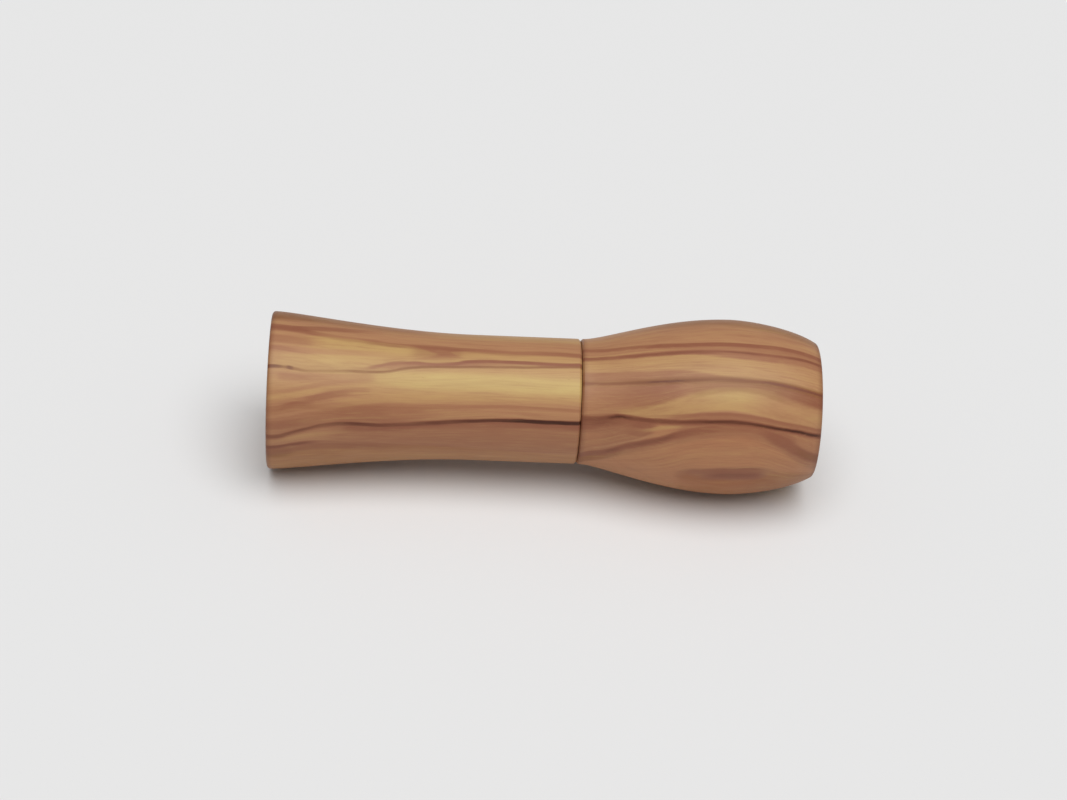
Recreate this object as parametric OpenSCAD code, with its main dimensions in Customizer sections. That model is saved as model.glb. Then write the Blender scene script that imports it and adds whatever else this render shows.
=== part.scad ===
// Two-piece turned bird call with a reed voice, lying on its side.
// The axis of the call runs along X, at a height that lets the fullest piece touch the ground.
// The bell of the insert opens towards -X and the lip of the barrel towards +X.

/* [Insert] */
// Length of the insert that shows, from the bell rim to the seam
insert_l = 67.75; // [58:0.25:90]
// Radius of the neck
neck_r = 13.8; // [12.5:0.1:16]
// Length of the straight part of the neck
neck_l = 23.75; // [8:0.25:35]
// Radius of the bell at its rim
bell_r = 17.3; // [15:0.1:22]
// Wall of the bell at its rim
bell_wall = 3; // [2.2:0.1:5]
// Angle at which the horn inside the bell opens at the rim
horn_angle = 17; // [0:1:30]
// Rounding of the edges of the bell rim
rim_round = 0.7; // [0.2:0.1:1]
// Radius of the sound passage between the horn and the tone board
passage_r = 5.5; // [4:0.1:6]
// Length of the straight part of the sound passage
passage_l = 10; // [4:0.5:20]

/* [Tenon] */
// Length of the tenon that plugs into the barrel
tenon_l = 15; // [13:0.25:20]
// Clearance round the tenon in the bore of the barrel
tenon_gap = 0.08; // [0.05:0.01:0.1]
// Bevel on the end of the tenon, outside and inside
tenon_bevel = 0.5; // [0.2:0.1:0.8]
// Thickness of the two O-rings on the tenon
ring_t = 1.5; // [1:0.1:1.8]
// Distance from the end of the tenon to the middle of the front O-ring
ring_inset = 3.5; // [2.5:0.1:4.5]
// Distance between the middles of the two O-rings
ring_step = 6.5; // [4:0.1:7]

/* [Barrel] */
// Length of the barrel
barrel_l = 52.25; // [48:0.25:70]
// Radius of the bore
bore_r = 9.5; // [9.2:0.05:10.5]
// Largest radius of the bulb
bulb_r = 19.3; // [17:0.1:24]
// Distance from the seam to the fullest place of the bulb
bulb_l = 32.75; // [22:0.25:38]
// Radius of the mouth end, before its edge is rounded
mouth_r = 14.7; // [14:0.1:16.5]
// Angle of the bulb's surface to the axis where it meets the lip
lip_angle = 31.6; // [15:0.1:40]
// Rounding of the outer edge of the lip
lip_round = 0.8; // [0.3:0.1:1.2]
// Radius at which the bore opens in the mouth end
mouth_open_r = 12; // [11:0.1:12.5]
// Depth over which the bore opens towards the mouth end
mouth_open_l = 2.4; // [1:0.1:4]

/* [Seam] */
// Bevel on both pieces at the seam
seam_bevel = 0.45; // [0.1:0.05:1]
// Gap between the shoulder of the insert and the barrel
seam_gap = 0.1; // [0.05:0.05:0.5]

/* [Tone board] */
// Radius of the tone board
board_r = 6.35; // [6.2:0.01:6.6]
// Length of the tone board inside the insert
board_grip_l = 27; // [20:0.25:32]
// Length of the tone board that stands out of the tenon
board_out_l = 28; // [26:0.25:31]
// Clearance round the tone board in the insert
board_gap = 0.04; // [0.02:0.01:0.1]
// Bevel on the rear end of the tone board
board_bevel = 0.4; // [0.1:0.1:0.8]
// Height of the sounding face above the axis
face_h = 1.2; // [0.8:0.1:1.6]
// Angle at which the sounding face falls away under the reeds
ramp_angle = 3; // [2.8:0.1:3.5]
// Radius of the tone channel
channel_r = 3.5; // [2.5:0.1:3.7]
// Solid end of the tone board ahead of the tone channel
channel_stop = 6; // [4:0.25:10]
// Depth of the tip of the tone board below the axis
tip_h = 3.9; // [3:0.1:5]
// Length over which the underside rises to the tip
tip_l = 14; // [8:0.5:20]
// Thickness of the O-ring round the tone board
board_ring_t = 1.1; // [0.8:0.05:1.4]
// Distance from the rear end of the tone board to the middle of its O-ring
board_ring_inset = 5; // [2:0.25:8]

/* [Reeds and wedge] */
// Distance from the end of the tenon to the place where the reeds leave the wedge
clamp_l = 4; // [2.5:0.1:5]
// Length of the wedge
wedge_l = 9; // [7:0.1:11]
// Length of the wedge that stands out of its slot
wedge_proud = 1.2; // [0.5:0.1:2]
// Height of the wedge slot at its mouth
slot_mouth_h = 3.4; // [2.6:0.05:3.6]
// Height of the wedge slot at its back
slot_back_h = 2.4; // [1.8:0.05:2.5]
// Width of the reeds
reed_w = 10; // [8:0.1:11]
// Thickness of the long reed, which lies below
long_reed_t = 0.35; // [0.2:0.01:0.45]
// Thickness of the short reed, which lies on top
short_reed_t = 0.25; // [0.15:0.01:0.35]
// Distance from the tip of the tone board back to the tip of the long reed
long_reed_back = 0.6; // [0.2:0.1:2]
// Distance from the tip of the long reed back to the tip of the short reed
short_reed_back = 4; // [2:0.1:8]
// Rounding of the corners of the reed tips
reed_round = 2.4; // [1:0.1:3.5]
// Space between the two reeds
reed_gap = 0.1; // [0.05:0.01:0.15]

/* [Hidden] */
$fn = 96;

// Clearance between pieces that seat on each other
seat_gap = 0.02;
// Gap where a reed bends, so that the tongue can tilt beside its root
bend_gap = 0.1;
// Side clearance of an O-ring in its groove
groove_side = 0.2;
// Overrun of the cuts
cut = 1;
// Straight steps in a curve
curve_steps = 16;
// Straight steps in a rounded edge
round_steps = 6;

// Lengths of the two handles of each curve, as shares of the curve's own length
flare_shares = [0.116, 0.42];
rise_shares = [0.147, 0.45];
fall_shares = [0.27, 0.24];
horn_shares = [0.3, 0.45];
open_shares = [0.55, 0.55];

// Places along the axis, from the middle of the call
call_l = insert_l + barrel_l;
bell_x = -call_l / 2;
mouth_x = call_l / 2;
seam_x = bell_x + insert_l;
shoulder_x = seam_x - seam_gap / 2;
barrel_x = seam_x + seam_gap / 2;
tenon_x = seam_x + tenon_l;
front_ring_x = tenon_x - ring_inset;
rear_ring_x = front_ring_x - ring_step;
seat_x = tenon_x - board_grip_l;
horn_x = seat_x - passage_l;
board_x = seat_x + seat_gap;
board_ring_x = board_x + board_ring_inset;
tip_x = tenon_x + board_out_l;
clamp_x = tenon_x + clamp_l;
slot_mouth_x = clamp_x - wedge_proud;
slot_back_x = clamp_x - wedge_l;
bend_x = clamp_x + bend_gap;
long_reed_x = tip_x - long_reed_back;
short_reed_x = long_reed_x - short_reed_back;

// Heights and radii
axis_z = max(bulb_r, bell_r);
tenon_r = bore_r - tenon_gap;
ring_r = bore_r - seat_gap - ring_t / 2;
groove_r = ring_r - ring_t / 2 - seat_gap;
board_bore_r = board_r + board_gap;
board_ring_r = board_bore_r - seat_gap - board_ring_t / 2;
board_groove_r = board_ring_r - board_ring_t / 2 - seat_gap;
long_reed_z = axis_z + face_h + seat_gap;
short_reed_z = long_reed_z + long_reed_t + reed_gap;
wedge_z = short_reed_z + short_reed_t + seat_gap;

// Centre of the rounded edge of the lip, which touches both the bulb and the mouth end
lip_r = mouth_r - lip_round * (1 - sin(lip_angle)) / cos(lip_angle);
lip_x = mouth_x - lip_round;

// Outline points are [radius, x]

// Points on an arc
function arc(centre, r, from, to) =
    [for (i = [0 : round_steps]) let (a = from + (to - from) * i / round_steps) centre + r * [cos(a), sin(a)]];

// Points on a cubic curve with the given ends and handles
function curve(p, q, r, s) =
    [for (i = [0 : curve_steps]) let (t = i / curve_steps, u = 1 - t)
        u * u * u * p + 3 * u * u * t * q + 3 * u * t * t * r + t * t * t * s];

// Points on a curve between two places, whose handles leave each place along the given angles to the axis
function blend(p, s, shares, start_angle = 0, end_angle = 0) =
    let (l = s[1] - p[1], a = l * shares[0], b = l * shares[1])
    curve(p, p + a * [tan(start_angle), 1], s - b * [tan(end_angle), 1], s);

// Lays what is drawn along Z along the axis of the call instead
module on_axis(x) {
    translate([x, 0, axis_z]) rotate([0, 90, 0]) children();
}

// Solid turned from an outline
module turned(outline) {
    on_axis(0) rotate_extrude() polygon(outline);
}

// Rod on the axis between two places
module rod(x0, x1, r) {
    on_axis(x0) cylinder(h = x1 - x0, r = r);
}

// Groove for an O-ring, to be cut from a piece of the given radius
module ring_groove(x, floor_r, outer_r, ring_t) {
    half_w = ring_t / 2 + groove_side;
    turned([[floor_r, x - half_w], [outer_r + cut, x - half_w], [outer_r + cut, x + half_w], [floor_r, x + half_w]]);
}

module o_ring(x, r, ring_t) {
    on_axis(x) rotate_extrude() translate([r, 0]) circle(d = ring_t);
}

// Prism across the call with the given [x, z] outline
module across(outline, w) {
    rotate([90, 0, 0]) linear_extrude(height = w, center = true) polygon(outline);
}

// Flat strip of reed between two places
module reed(x0, x1, z, t) {
    translate([x0, -reed_w / 2, z]) cube([x1 - x0, reed_w, t]);
}

// Free end of a reed, with rounded tip corners
module reed_tongue(x1, z, t) {
    corner_y = reed_w / 2 - reed_round;
    reed(bend_x, x1 - reed_round, z, t);
    translate([x1 - reed_round, -corner_y, z]) cube([reed_round, 2 * corner_y, t]);
    for (y = [-corner_y, corner_y]) {
        translate([x1 - reed_round, y, z]) cylinder(h = t, r = reed_round);
    }
}

// Turned outside of the insert, from the bell rim to the end of the tenon
insert_outside = concat(
    arc([bell_r - rim_round, bell_x + rim_round], rim_round, -90, 0),
    blend([bell_r, bell_x + rim_round], [neck_r, seam_x - neck_l], flare_shares),
    [[neck_r, shoulder_x - seam_bevel], [neck_r - seam_bevel, shoulder_x], [tenon_r, shoulder_x],
     [tenon_r, tenon_x - tenon_bevel], [tenon_r - tenon_bevel, tenon_x]]);

// Inside of the insert, from the bell rim to the end of the tenon
insert_inside = concat(
    arc([bell_r - bell_wall + rim_round, bell_x + rim_round], rim_round, 270, 180),
    blend([bell_r - bell_wall, bell_x + rim_round], [passage_r, horn_x], horn_shares, -horn_angle),
    [[passage_r, seat_x], [board_bore_r, seat_x], [board_bore_r, tenon_x - tenon_bevel],
     [board_bore_r + tenon_bevel, tenon_x]]);

// Turned outside of the barrel, from the seam to the mouth
barrel_outside = concat(
    [[neck_r - seam_bevel, barrel_x]],
    blend([neck_r, barrel_x + seam_bevel], [bulb_r, seam_x + bulb_l], rise_shares),
    blend([bulb_r, seam_x + bulb_l], [lip_r, lip_x] + lip_round * [cos(lip_angle), sin(lip_angle)],
          fall_shares, 0, -lip_angle),
    arc([lip_r, lip_x], lip_round, lip_angle, 90));

// Inside of the barrel, from the seam to the mouth
barrel_inside = concat(
    [[bore_r + seam_bevel, barrel_x], [bore_r, barrel_x + seam_bevel]],
    curve([bore_r, mouth_x - mouth_open_l],
          [bore_r, mouth_x - mouth_open_l * (1 - open_shares[0])],
          [mouth_open_r - (mouth_open_r - bore_r) * open_shares[1], mouth_x],
          [mouth_open_r, mouth_x]));

// Points of an outline in the opposite order
function reversed(points) = [for (i = [len(points) - 1 : -1 : 0]) points[i]];

module bell_insert() {
    color("#b98a5e") difference() {
        turned(concat(insert_outside, reversed(insert_inside)));
        ring_groove(rear_ring_x, groove_r, tenon_r, ring_t);
        ring_groove(front_ring_x, groove_r, tenon_r, ring_t);
    }
}

module barrel() {
    color("#b07c54") turned(concat(barrel_outside, reversed(barrel_inside)));
}

module rear_o_ring() {
    color("#1c1c1e") o_ring(rear_ring_x, ring_r, ring_t);
}

module front_o_ring() {
    color("#1c1c1e") o_ring(front_ring_x, ring_r, ring_t);
}

module tone_board() {
    face_z = axis_z + face_h;
    ramp_end_x = tip_x + cut;
    ramp_end_z = face_z - (ramp_end_x - clamp_x) * tan(ramp_angle);
    top_z = axis_z + board_r + cut;
    belly_z = axis_z - board_r;
    slot_w = 2 * (board_r + cut);
    color("#2b2b30") difference() {
        union() {
            on_axis(board_x) cylinder(h = board_bevel, r1 = board_r - board_bevel, r2 = board_r);
            rod(board_x + board_bevel, tip_x, board_r);
        }
        rod(board_x - cut, tip_x - channel_stop - channel_r, channel_r);
        translate([tip_x - channel_stop - channel_r, 0, axis_z]) sphere(r = channel_r);
        ring_groove(board_ring_x, board_groove_r, board_r, board_ring_t);
        across([[slot_back_x, face_z], [slot_back_x, face_z + slot_back_h], [slot_mouth_x, face_z + slot_mouth_h],
                [slot_mouth_x, top_z], [ramp_end_x, top_z], [ramp_end_x, ramp_end_z], [clamp_x, face_z]], slot_w);
        across([[tip_x - tip_l, belly_z], [tip_x, axis_z - tip_h], [ramp_end_x, axis_z - tip_h],
                [ramp_end_x, belly_z - cut], [tip_x - tip_l, belly_z - cut]], slot_w);
    }
}

module board_o_ring() {
    color("#1c1c1e") o_ring(board_ring_x, board_ring_r, board_ring_t);
}

module cork_wedge() {
    slope = (slot_mouth_h - slot_back_h) / (slot_mouth_x - slot_back_x);
    back_z = axis_z + face_h + slot_back_h - seat_gap;
    color("#c99f6c") intersection() {
        across([[slot_back_x + seat_gap, wedge_z], [slot_back_x + seat_gap, back_z],
                [clamp_x, back_z + wedge_l * slope], [clamp_x, wedge_z]], 2 * board_r);
        rod(slot_back_x, clamp_x, board_r);
    }
}

module long_reed_root() {
    color("#e8e4d6") reed(slot_back_x + seat_gap, clamp_x, long_reed_z, long_reed_t);
}

module long_reed_tongue() {
    color("#e8e4d6") reed_tongue(long_reed_x, long_reed_z, long_reed_t);
}

module short_reed_root() {
    color("#f2efe6") reed(slot_back_x + seat_gap, clamp_x, short_reed_z, short_reed_t);
}

module short_reed_tongue() {
    color("#f2efe6") reed_tongue(short_reed_x, short_reed_z, short_reed_t);
}

bell_insert();
barrel();
rear_o_ring();
front_o_ring();
tone_board();
board_o_ring();
cork_wedge();
long_reed_root();
long_reed_tongue();
short_reed_root();
short_reed_tongue();
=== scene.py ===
# %% [markdown]
# A turned wooden bird call, lying on a pale table.
#
# The call is two pieces of oiled olive wood on one axis. A flared insert is on the left, and the bulb of
# the barrel, which is the mouthpiece, is on the right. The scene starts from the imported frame, so every
# size and place is known before anything is modelled. All lengths in Blender are metres, and the sizes
# that a turner would write down are in millimetres, times MM.

# %% Load the frame
import math

import bmesh
import bpy
from mathutils import Matrix, Vector, noise


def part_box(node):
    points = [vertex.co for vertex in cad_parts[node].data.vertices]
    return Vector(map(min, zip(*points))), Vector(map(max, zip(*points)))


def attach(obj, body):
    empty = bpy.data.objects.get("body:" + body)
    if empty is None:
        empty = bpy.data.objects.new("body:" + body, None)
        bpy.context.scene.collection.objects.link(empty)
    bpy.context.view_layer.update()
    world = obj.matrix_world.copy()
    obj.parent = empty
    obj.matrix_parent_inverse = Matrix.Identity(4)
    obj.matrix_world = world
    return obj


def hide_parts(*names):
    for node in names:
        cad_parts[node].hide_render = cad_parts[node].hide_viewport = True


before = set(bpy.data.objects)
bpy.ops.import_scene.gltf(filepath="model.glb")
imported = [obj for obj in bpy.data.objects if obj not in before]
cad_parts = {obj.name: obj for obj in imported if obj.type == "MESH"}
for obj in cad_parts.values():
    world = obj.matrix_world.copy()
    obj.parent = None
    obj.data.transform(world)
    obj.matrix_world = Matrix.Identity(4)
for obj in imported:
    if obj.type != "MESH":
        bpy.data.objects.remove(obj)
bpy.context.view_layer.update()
MM = 0.001

barrel_low, barrel_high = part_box("barrel")
AXIS_Z = barrel_high[1]
BELL_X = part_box("bell_insert")[0][0]
SEAM_X = barrel_low[0]
MOUTH_X = barrel_high[0]
BULB_R = barrel_high[1]
BELL_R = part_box("bell_insert")[1][1]
print("axis height", AXIS_Z, "bell", BELL_X, "seam", SEAM_X, "mouth", MOUTH_X)

# %% [markdown]
# A turned piece is an outline spun round its axis.
#
# The outline could be traced as one spline, but a turner thinks in stretches: a straight neck, a
# flare, a rounded edge. So the outline is a list of [x, radius] points in which each stretch is a short
# call:
# arc() for a rounded edge, blend() for a cubic curve that leaves both of its ends at a known angle. The
# sizes repeat the ones that the solids were made from.

# %% Stretches of an outline
CURVE_STEPS = 40
ARC_STEPS = 8
WEAR_STEPS = 4
WEAR_PART = 3
SHARP_TURN = 25
SAME_PLACE = 1e-9


def arc(centre, r, start, stop):
    """Points on an arc. Angles are in degrees, from the radius axis towards +X."""
    angles = (math.radians(start + (stop - start) * i / ARC_STEPS) for i in range(ARC_STEPS + 1))
    return [(centre[0] + r * math.sin(a), centre[1] + r * math.cos(a)) for a in angles]


def cubic(p, q, r, s):
    """Points on the cubic curve from p to s with the handles q and r."""
    points = []
    for i in range(CURVE_STEPS + 1):
        t = i / CURVE_STEPS
        u = 1 - t
        points.append(tuple(u**3 * a + 3 * u * u * t * b + 3 * u * t * t * c + t**3 * d
                            for a, b, c, d in zip(p, q, r, s)))
    return points


def blend(p, s, shares, start=0, stop=0):
    """A curve from p to s. Its handles are shares of its length, and leave along angles to the axis."""
    a, b = ((s[0] - p[0]) * share for share in shares)
    return cubic(p, (p[0] + a, p[1] + a * math.tan(math.radians(start))),
                 (s[0] - b, s[1] - b * math.tan(math.radians(stop))), s)


def softened(points, wear):
    """The same outline with each sharp corner worn round, over at most the given length on both sides."""
    worn = []
    n = len(points)
    for i, p in enumerate(points):
        before = Vector(points[i - 1]) - Vector(p)
        after = Vector(points[(i + 1) % n]) - Vector(p)
        if before.length < SAME_PLACE or after.length < SAME_PLACE:
            continue
        if math.pi - before.angle(after) < math.radians(SHARP_TURN):
            worn.append(p)
            continue
        a = Vector(p) + before.normalized() * min(wear, before.length / WEAR_PART)
        b = Vector(p) + after.normalized() * min(wear, after.length / WEAR_PART)
        for k in range(WEAR_STEPS + 1):
            t = k / WEAR_STEPS
            worn.append(tuple((1 - t) ** 2 * a + 2 * t * (1 - t) * Vector(p) + t * t * b))
    return worn


# %% [markdown]
# Spinning the outline.
#
# Blender can spin with the Screw modifier or bmesh.ops.spin. Here the rings are built straight from the
# points, because each ring then has exactly the same number of vertices, the skin is all clean quads, and
# no seam has to be merged. Corners that should stay crisp are marked sharp by their angle, and the rest
# shades smooth.

# %% Spin an outline into a mesh
SPIN_STEPS = 192
CREASE_ANGLE = 38


def turned(name, outline, steps=SPIN_STEPS):
    """A closed skin from a closed outline of (x, radius) points, spun round the call's axis."""
    bm = bmesh.new()
    rings = []
    for x, r in outline:
        ring = []
        for k in range(steps):
            a = 2 * math.pi * k / steps
            ring.append(bm.verts.new((x, r * math.cos(a), AXIS_Z + r * math.sin(a))))
        rings.append(ring)
    for ring, following in zip(rings, rings[1:] + rings[:1]):
        for k in range(steps):
            m = (k + 1) % steps
            bm.faces.new((ring[k], ring[m], following[m], following[k]))
    bmesh.ops.recalc_face_normals(bm, faces=bm.faces)
    mesh = bpy.data.meshes.new(name)
    bm.to_mesh(mesh)
    bm.free()
    mesh.shade_smooth()
    mesh.set_sharp_from_angle(angle=math.radians(CREASE_ANGLE))
    piece = bpy.data.objects.new(name, mesh)
    bpy.context.scene.collection.objects.link(piece)
    print(name, "points", len(outline), "faces", len(mesh.polygons))
    return piece


# %% [markdown]
# The insert.
#
# Outside it is a flared bell, a straight neck, a shoulder, and the tenon with two grooves for O-rings.
# Inside it is a horn, a narrow passage, and the bore that takes the tone board.

# %% Turn the insert
NECK_R = 13.8 * MM
NECK_L = 23.75 * MM
BELL_WALL = 3 * MM
RIM_ROUND = 0.7 * MM
HORN_ANGLE = 17
PASSAGE_R = 5.5 * MM
PASSAGE_L = 10 * MM
SEAM_BEVEL = 0.45 * MM
SEAM_GAP = 0.1 * MM
RING_GAP = 0.02 * MM
SEAT_GAP = 0.02 * MM
BOARD_GAP = 0.04 * MM
TENON_GAP = 0.08 * MM
GROOVE_SIDE = 0.2 * MM
TENON_BEVEL = 0.5 * MM
EDGE_WEAR = 0.16 * MM
FLARE_SHARES = (0.116, 0.42)
HORN_SHARES = (0.3, 0.45)
SKIN_EVERY = 4

board_low, board_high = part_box("tone_board")
BORE_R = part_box("front_o_ring")[1][1] + RING_GAP
TENON_R = BORE_R - TENON_GAP
TENON_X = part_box("bell_insert")[1][0]
BOARD_BORE_R = board_high[1] + BOARD_GAP
SEAT_X = board_low[0] - SEAT_GAP


def groove(ring_node, outer_r):
    """The four corners of an O-ring's groove, from the bell side to the mouth side."""
    low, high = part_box(ring_node)
    middle = (low[0] + high[0]) / 2
    half = (high[0] - low[0]) / 2 + GROOVE_SIDE
    floor_r = high[1] - (high[0] - low[0]) - RING_GAP
    return [(middle - half, outer_r), (middle - half, floor_r),
            (middle + half, floor_r), (middle + half, outer_r)]


shoulder_x = SEAM_X - SEAM_GAP
flare = blend((BELL_X + RIM_ROUND, BELL_R), (SEAM_X - NECK_L, NECK_R), FLARE_SHARES)
horn = blend((BELL_X + RIM_ROUND, BELL_R - BELL_WALL), (SEAT_X - PASSAGE_L, PASSAGE_R),
             HORN_SHARES, -HORN_ANGLE)
insert_outside = (
    arc((BELL_X + RIM_ROUND, BELL_R - RIM_ROUND), RIM_ROUND, -90, 0)
    + flare
    + [(shoulder_x - SEAM_BEVEL, NECK_R), (shoulder_x, NECK_R - SEAM_BEVEL), (shoulder_x, TENON_R)]
    + groove("rear_o_ring", TENON_R) + groove("front_o_ring", TENON_R)
    + [(TENON_X - TENON_BEVEL, TENON_R), (TENON_X, TENON_R - TENON_BEVEL)])
insert_inside = (
    [(TENON_X, BOARD_BORE_R + TENON_BEVEL), (TENON_X - TENON_BEVEL, BOARD_BORE_R), (SEAT_X, BOARD_BORE_R),
     (SEAT_X, PASSAGE_R)]
    + horn[::-1]
    + arc((BELL_X + RIM_ROUND, BELL_R - BELL_WALL + RIM_ROUND), RIM_ROUND, 180, 270))
insert_outside_skin = ([(BELL_X, BELL_R)] + flare[::SKIN_EVERY]
                       + [(shoulder_x, NECK_R), (shoulder_x + TENON_BEVEL, TENON_R), (TENON_X, TENON_R)])
insert_shell = turned("insert_shell", softened(insert_outside + insert_inside, EDGE_WEAR))
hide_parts("bell_insert")
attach(insert_shell, "insert")

# %% [markdown]
# The barrel.
#
# A bulb that swells from the neck's radius, falls away to the lip, and ends in a small rounded edge round
# a flat mouth. The bore runs straight through and opens a little at the mouth.

# %% Turn the barrel
BULB_L = 32.75 * MM
MOUTH_R = 14.7 * MM
LIP_ANGLE = 31.6
LIP_ROUND = 0.8 * MM
MOUTH_OPEN_R = 12 * MM
MOUTH_OPEN_L = 2.4 * MM
OPEN_SHARE = 0.55
RISE_SHARES = (0.147, 0.45)
FALL_SHARES = (0.27, 0.24)

lip_turn = math.radians(LIP_ANGLE)
lip_centre = (MOUTH_X - LIP_ROUND, MOUTH_R - LIP_ROUND * (1 - math.sin(lip_turn)) / math.cos(lip_turn))
lip_arc = arc(lip_centre, LIP_ROUND, LIP_ANGLE, 90)
bulb_top = (SEAM_X + BULB_L, BULB_R)
fall = blend(bulb_top, lip_arc[0], FALL_SHARES, 0, -LIP_ANGLE)
barrel_outside = (
    [(SEAM_X, NECK_R - SEAM_BEVEL)]
    + blend((SEAM_X + SEAM_BEVEL, NECK_R), bulb_top, RISE_SHARES)
    + fall[1:] + lip_arc[1:])
barrel_inside = (
    cubic((MOUTH_X, MOUTH_OPEN_R), (MOUTH_X, MOUTH_OPEN_R - (MOUTH_OPEN_R - BORE_R) * OPEN_SHARE),
          (MOUTH_X - MOUTH_OPEN_L * (1 - OPEN_SHARE), BORE_R), (MOUTH_X - MOUTH_OPEN_L, BORE_R))
    + [(SEAM_X + SEAM_BEVEL, BORE_R), (SEAM_X, BORE_R + SEAM_BEVEL)])
barrel_outside_skin = (blend((SEAM_X, NECK_R), bulb_top, RISE_SHARES)[::SKIN_EVERY]
                       + fall[SKIN_EVERY::SKIN_EVERY] + [(MOUTH_X, MOUTH_R)])
barrel_shell = turned("barrel_shell", softened(barrel_outside + barrel_inside, EDGE_WEAR))
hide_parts("barrel")
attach(barrel_shell, "barrel")

# %% [markdown]
# The O-rings.
#
# Two rubber rings make the push fit of the barrel on the tenon, and a thinner one holds the tone board in
# the insert. Each is a round cord moulded in two halves, so a fine line of flash runs round its outer and
# inner edge. A torus would be quick but has no flash, so the ring is spun from its own outline, like the
# wood.

# %% Spin the O-rings
CORD_STEPS = 40
FLASH_HIGH = 0.035 * MM
FLASH_WIDE = 9


def o_ring(node, body):
    """A rubber ring in the place of a solid one, with flash on both parting lines."""
    low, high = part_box(node)
    thick = (high[0] - low[0]) / 2
    middle = ((low[0] + high[0]) / 2, high[1] - thick)
    outline = []
    for i in range(CORD_STEPS):
        a = 2 * math.pi * i / CORD_STEPS
        off_line = math.degrees(math.asin(abs(math.sin(a))))
        r = thick - FLASH_HIGH + FLASH_HIGH * max(0.0, 1 - off_line / FLASH_WIDE)
        outline.append((middle[0] + r * math.sin(a), middle[1] + r * math.cos(a)))
    ring = turned(node + "_skin", outline)
    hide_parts(node)
    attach(ring, body)
    return ring


rings = [o_ring("rear_o_ring", "grip_rings"), o_ring("front_o_ring", "grip_rings"),
         o_ring("board_o_ring", "voice")]

# %% [markdown]
# The tone board.
#
# The board is machined from black plastic rod: a round grip, a flat with the sounding channel, and a face
# that ramps away from the reeds to the tip. A cutter never leaves a perfect edge, and a hand breaks the
# sharp ones. The frame's solid has the shape, so a copy of it gets its flats joined into whole faces, and
# a Bevel modifier breaks every edge that is sharper than BREAK_ANGLE.

# %% Break the edges of the tone board
EDGE_BREAK = 0.14 * MM
BREAK_ANGLE = 32
FLAT_TURN = 0.4
MERGE = 0.001 * MM


def copied(name, node):
    """A new piece with a copy of a node's mesh, its flat faces joined."""
    bm = bmesh.new()
    bm.from_mesh(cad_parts[node].data)
    bmesh.ops.remove_doubles(bm, verts=bm.verts, dist=MERGE)
    bmesh.ops.dissolve_limit(bm, angle_limit=math.radians(FLAT_TURN), verts=bm.verts, edges=bm.edges)
    mesh = bpy.data.meshes.new(name)
    bm.to_mesh(mesh)
    bm.free()
    mesh.shade_smooth()
    mesh.set_sharp_from_angle(angle=math.radians(BREAK_ANGLE))
    piece = bpy.data.objects.new(name, mesh)
    bpy.context.scene.collection.objects.link(piece)
    print(name, "faces", len(mesh.polygons))
    return piece


def broken_edges(piece, width, steps=3):
    """Round every sharp edge of a piece."""
    bevel = piece.modifiers.new("broken_edges", "BEVEL")
    bevel.limit_method = "ANGLE"
    bevel.angle_limit = math.radians(BREAK_ANGLE)
    bevel.width = width
    bevel.segments = steps
    bevel.harden_normals = True


board = copied("tone_board_skin", "tone_board")
broken_edges(board, EDGE_BREAK)
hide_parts("tone_board")
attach(board, "voice")

# %% [markdown]
# The reeds.
#
# Two strips of clear film, cut with a blade, lie one over the other above the channel. The wedge clamps
# their roots, and their tongues are free to beat. Each strip keeps its solid from the frame, because film
# is exactly that plain, and only its cut edges are softened.

# %% Soften the reeds' cut edges
FILM_EDGE = 0.05 * MM
film_nodes = ["long_reed_root", "long_reed_tongue", "short_reed_root", "short_reed_tongue"]
for node in film_nodes:
    broken_edges(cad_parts[node], FILM_EDGE, 2)
print("film edges softened on", len(film_nodes), "pieces")

# %% [markdown]
# The cork wedge.
#
# A sliver cut from a cork holds the reeds down. Cut cork is full of small open pores and its edges
# crumble. The shape is remeshed into small even faces, and then each point sinks by a noise that is
# nearly flat, except where a pore is. The points only ever sink, so the wedge stays inside its solid and
# never touches the reeds.

# %% Cut the cork wedge
CORK_VOXEL = 0.16 * MM
PORE_SIZE = 0.9 * MM
PORE_DEEP = 0.22 * MM
PORE_REACH = 0.34
PORE_PATCH = 0.6
PATCH_SHARE = 0.25
CLOSED_PORE = 0.3
CRUMB_SIZE = 0.35 * MM
CRUMB_DEEP = 0.05 * MM


def cork_sink(spot):
    """How deep the cut surface lies here, below the solid's."""
    near = noise.voronoi(spot / PORE_SIZE)[0]
    pore = max(0.0, 1 - (near[0] / PORE_REACH) ** 2) ** 2
    gate = 1 if noise.cell(spot / PORE_SIZE * PORE_PATCH) > PATCH_SHARE else CLOSED_PORE
    crumb = 0.5 + 0.5 * noise.noise(spot / CRUMB_SIZE)
    return pore * gate * PORE_DEEP + crumb * CRUMB_DEEP


wedge = copied("cork_wedge_skin", "cork_wedge")
remesh = wedge.modifiers.new("crumb", "REMESH")
remesh.mode = "VOXEL"
remesh.voxel_size = CORK_VOXEL
fine_cork = bpy.data.meshes.new_from_object(wedge.evaluated_get(bpy.context.evaluated_depsgraph_get()))
wedge.modifiers.clear()
wedge.data = fine_cork
normals = [v.normal.copy() for v in fine_cork.vertices]
for vertex, normal in zip(fine_cork.vertices, normals):
    vertex.co -= normal * cork_sink(vertex.co)
fine_cork.shade_smooth()
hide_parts("cork_wedge")
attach(wedge, "voice")
print("cork faces", len(fine_cork.polygons))

# %% [markdown]
# The table.
#
# The bulb is fatter than the bell, so the call leans: it touches the table under the bulb and under the
# bell rim. The frame keeps the axis level, so the table is the piece that tilts, by about a degree.

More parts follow.
